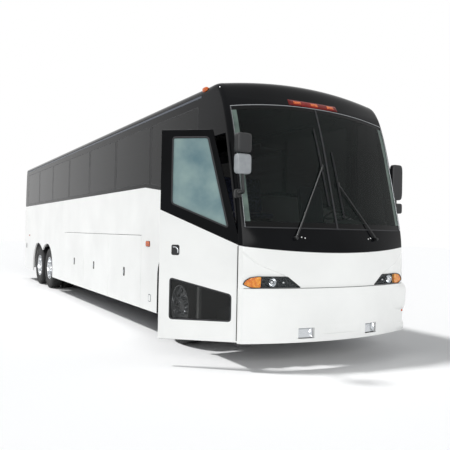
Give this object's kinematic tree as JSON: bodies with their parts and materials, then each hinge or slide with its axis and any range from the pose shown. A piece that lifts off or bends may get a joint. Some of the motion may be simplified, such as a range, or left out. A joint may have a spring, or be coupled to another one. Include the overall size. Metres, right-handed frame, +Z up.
{
  "type": "coach bus",
  "caption": "Three-axle touring coach with a high floor, an entrance door that stands open, luggage doors, a steered front axle and turning wheels.",
  "frame": {"origin": "on the road, under the middle of the bounding box", "axes": "+Z up, +Y towards the rear, +X towards the driver's side; the coach faces -Y"},
  "size_m": [3.5118, 13.8398, 3.58],
  "materials": {
    "axle_iron": "black painted castings",
    "black_plastic": "black moulded plastic",
    "body_black": "glossy black coach paint",
    "body_white": "glossy white coach paint",
    "dark_glass": "dark tinted side glass",
    "dash_plastic": "dark grey moulding",
    "floor_cover": "grey floor covering",
    "frame_steel": "black chassis paint",
    "lamp_lens": "clear lamp lenses",
    "lining": "pale grey moulding",
    "marker_lens": "amber and red marker lenses",
    "screen_glass": "clear laminated windscreen with a green tint",
    "seat_cloth": "patterned dark cloth",
    "tail_lens": "red tail lamp lenses",
    "tyre_rubber": "black tyre rubber",
    "wheel_alloy": "polished forged wheel"
  },
  "bodies": {
    "coach": {"bulkheads": "frame_steel", "bumpers": "body_white", "cockpit_floor": "floor_cover", "dashboard": "dash_plastic", "door_hinge": "frame_steel", "engine_block": "axle_iron", "floor_panels": "floor_cover", "frame_rails": "frame_steel", "front_axle": "axle_iron", "front_lamps": "lamp_lens", "front_mask": "body_black", "marker_lamps": "marker_lens", "mirrors": "black_plastic", "nose_panel": "body_white", "parcel_racks": "lining", "rear_axles": "axle_iron", "rear_mask": "body_black", "rear_panel": "body_white", "roof_panel": "body_black", "seats": "seat_cloth", "side_panels_lower": "body_white", "side_panels_upper": "body_white", "tail_lamps": "tail_lens", "window_bands": "body_black", "window_glass": "dark_glass", "windscreen": "screen_glass", "wipers": "black_plastic"},
    "entrance_door": {"door_panel": "body_white", "door_frame": "body_black", "door_glass": "screen_glass"},
    "engine_door": {"engine_door": "body_white"},
    "steering_wheel": {"steering_wheel": "dash_plastic"},
    "knuckle_left": {"knuckle_left": "axle_iron"},
    "knuckle_right": {"knuckle_right": "axle_iron"},
    "bay_door_left_1": {"bay_door_left_1": "body_white"},
    "bay_door_left_2": {"bay_door_left_2": "body_white"},
    "bay_door_left_3": {"bay_door_left_3": "body_white"},
    "front_wheel_left": {"front_tyre_left": "tyre_rubber", "front_rim_left": "wheel_alloy"},
    "drive_wheel_left": {"drive_tyre_left": "tyre_rubber", "drive_rim_left": "wheel_alloy"},
    "tag_wheel_left": {"tag_tyre_left": "tyre_rubber", "tag_rim_left": "wheel_alloy"},
    "bay_door_right_1": {"bay_door_right_1": "body_white"},
    "bay_door_right_2": {"bay_door_right_2": "body_white"},
    "bay_door_right_3": {"bay_door_right_3": "body_white"},
    "front_wheel_right": {"front_tyre_right": "tyre_rubber", "front_rim_right": "wheel_alloy"},
    "drive_wheel_right": {"drive_tyre_right": "tyre_rubber", "drive_rim_right": "wheel_alloy"},
    "tag_wheel_right": {"tag_tyre_right": "tyre_rubber", "tag_rim_right": "wheel_alloy"}
  },
  "joints": [
    {"name": "entrance_door_swing", "type": "hinge", "parent": "coach", "child": "entrance_door", "pos_m": [-1.01912, -6.575, 0.322], "axis": [0, 0, 1], "range_deg": [-50, 40]},
    {"name": "bay_door_left_1_lift", "type": "hinge", "parent": "coach", "child": "bay_door_left_1", "pos_m": [1.53888, -2.67, 1.497], "axis": [0, -1, 0], "range_deg": [0, 95]},
    {"name": "bay_door_left_2_lift", "type": "hinge", "parent": "coach", "child": "bay_door_left_2", "pos_m": [1.53888, -0.97, 1.497], "axis": [0, -1, 0], "range_deg": [0, 95]},
    {"name": "bay_door_left_3_lift", "type": "hinge", "parent": "coach", "child": "bay_door_left_3", "pos_m": [1.53888, 0.73, 1.497], "axis": [0, -1, 0], "range_deg": [0, 95]},
    {"name": "bay_door_right_1_lift", "type": "hinge", "parent": "coach", "child": "bay_door_right_1", "pos_m": [-1.02712, -2.67, 1.497], "axis": [0, 1, 0], "range_deg": [0, 95]},
    {"name": "bay_door_right_2_lift", "type": "hinge", "parent": "coach", "child": "bay_door_right_2", "pos_m": [-1.02712, -0.97, 1.497], "axis": [0, 1, 0], "range_deg": [0, 95]},
    {"name": "bay_door_right_3_lift", "type": "hinge", "parent": "coach", "child": "bay_door_right_3", "pos_m": [-1.02712, 0.73, 1.497], "axis": [0, 1, 0], "range_deg": [0, 95]},
    {"name": "engine_door_lift", "type": "hinge", "parent": "coach", "child": "engine_door", "pos_m": [0.25588, 6.914, 1.78], "axis": [1, 0, 0], "range_deg": [0, 85]},
    {"name": "steering_wheel_turn", "type": "hinge", "parent": "coach", "child": "steering_wheel", "pos_m": [0.89588, -6.06, 1.84], "axis": [0, 0.5299, 0.848], "range_deg": [-810, 810]},
    {"name": "steer_left", "type": "hinge", "parent": "coach", "child": "knuckle_left", "pos_m": [1.10088, -4.89, 0.535], "axis": [0, 0, 1], "range_deg": [-45, 45]},
    {"name": "front_wheel_left_spin", "type": "hinge", "parent": "knuckle_left", "child": "front_wheel_left", "pos_m": [1.35088, -4.89, 0.535], "axis": [1, 0, 0], "continuous": true},
    {"name": "drive_wheel_left_spin", "type": "hinge", "parent": "coach", "child": "drive_wheel_left", "pos_m": [1.35088, 3.46, 0.535], "axis": [1, 0, 0], "continuous": true},
    {"name": "tag_wheel_left_spin", "type": "hinge", "parent": "coach", "child": "tag_wheel_left", "pos_m": [1.35088, 4.72, 0.535], "axis": [1, 0, 0], "continuous": true},
    {"name": "steer_right", "type": "hinge", "parent": "coach", "child": "knuckle_right", "pos_m": [-0.58912, -4.89, 0.535], "axis": [0, 0, 1], "range_deg": [-45, 45]},
    {"name": "front_wheel_right_spin", "type": "hinge", "parent": "knuckle_right", "child": "front_wheel_right", "pos_m": [-0.83912, -4.89, 0.535], "axis": [1, 0, 0], "continuous": true},
    {"name": "drive_wheel_right_spin", "type": "hinge", "parent": "coach", "child": "drive_wheel_right", "pos_m": [-0.83912, 3.46, 0.535], "axis": [1, 0, 0], "continuous": true},
    {"name": "tag_wheel_right_spin", "type": "hinge", "parent": "coach", "child": "tag_wheel_right", "pos_m": [-0.83912, 4.72, 0.535], "axis": [1, 0, 0], "continuous": true}
  ],
  "couplings": [
    {"joint": "steer_left", "follows": "steering_wheel_turn", "ratio": 0.0555},
    {"joint": "steer_right", "follows": "steering_wheel_turn", "ratio": 0.0555}
  ]
}
